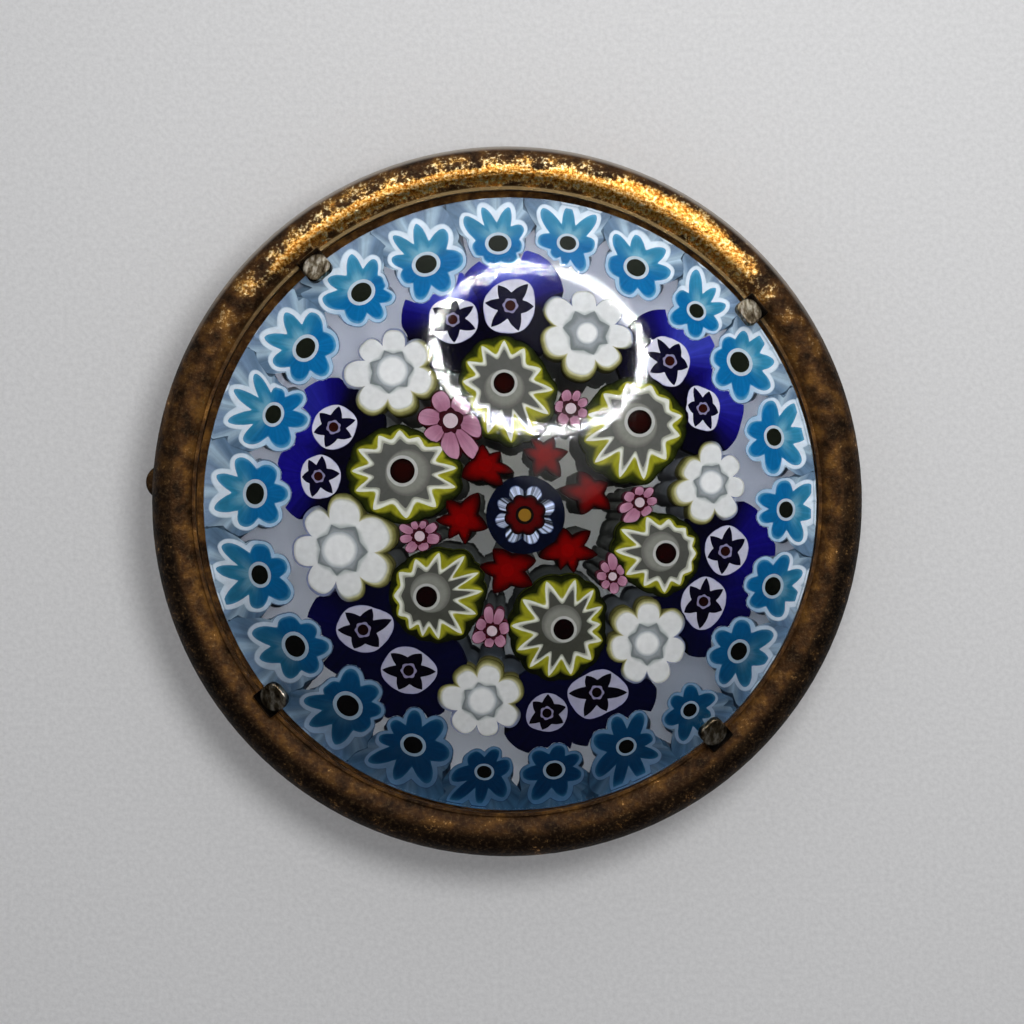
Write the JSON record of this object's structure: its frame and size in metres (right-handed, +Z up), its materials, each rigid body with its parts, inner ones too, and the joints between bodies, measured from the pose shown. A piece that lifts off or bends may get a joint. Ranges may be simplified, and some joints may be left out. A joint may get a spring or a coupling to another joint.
{
  "type": "millefiori glass brooch",
  "caption": "Round brooch of millefiori glass canes under a clear dome, in a tarnished gilt setting with bent claws and a pin on its back.",
  "frame": {"origin": "under the middle of the round setting, on the surface that the brooch rests on, at the bottom of its bounding box", "axes": "+Z up out of the dome, +Y towards the upper edge of the worn brooch, +X to the right seen from the front"},
  "size_m": [0.0445, 0.044, 0.012],
  "materials": {
    "tarnished_gilt_brass": "stamped and gilt, worn and tarnished",
    "tarnished_brass": "tarnished",
    "ground_glass": "opaque, pale lavender grey",
    "clear_glass": "clear, polished",
    "blue_glass": "blue flowers with white and olive black cores in a pale casing",
    "cobalt_glass": "white discs with navy stars in deep blue",
    "white_glass": "white petals round a grey ring and a white middle",
    "green_glass": "grey field with a maroon core and a white toothed edge over green",
    "pink_glass": "pink petals round a dark red ring",
    "red_glass": "clear red stars",
    "ochre_glass": "white rays on dark blue round a red flower and an ochre core"
  },
  "bodies": {
    "root": {"setting": "tarnished_gilt_brass", "pin_fastening": "tarnished_brass", "ground_glass": "ground_glass", "clear_dome": "clear_glass", "blue_canes": "blue_glass", "star_canes": "cobalt_glass", "white_canes": "white_glass", "green_canes": "green_glass", "pink_canes": "pink_glass", "red_canes": "red_glass", "centre_cane": "ochre_glass"}
  },
  "joints": []
}
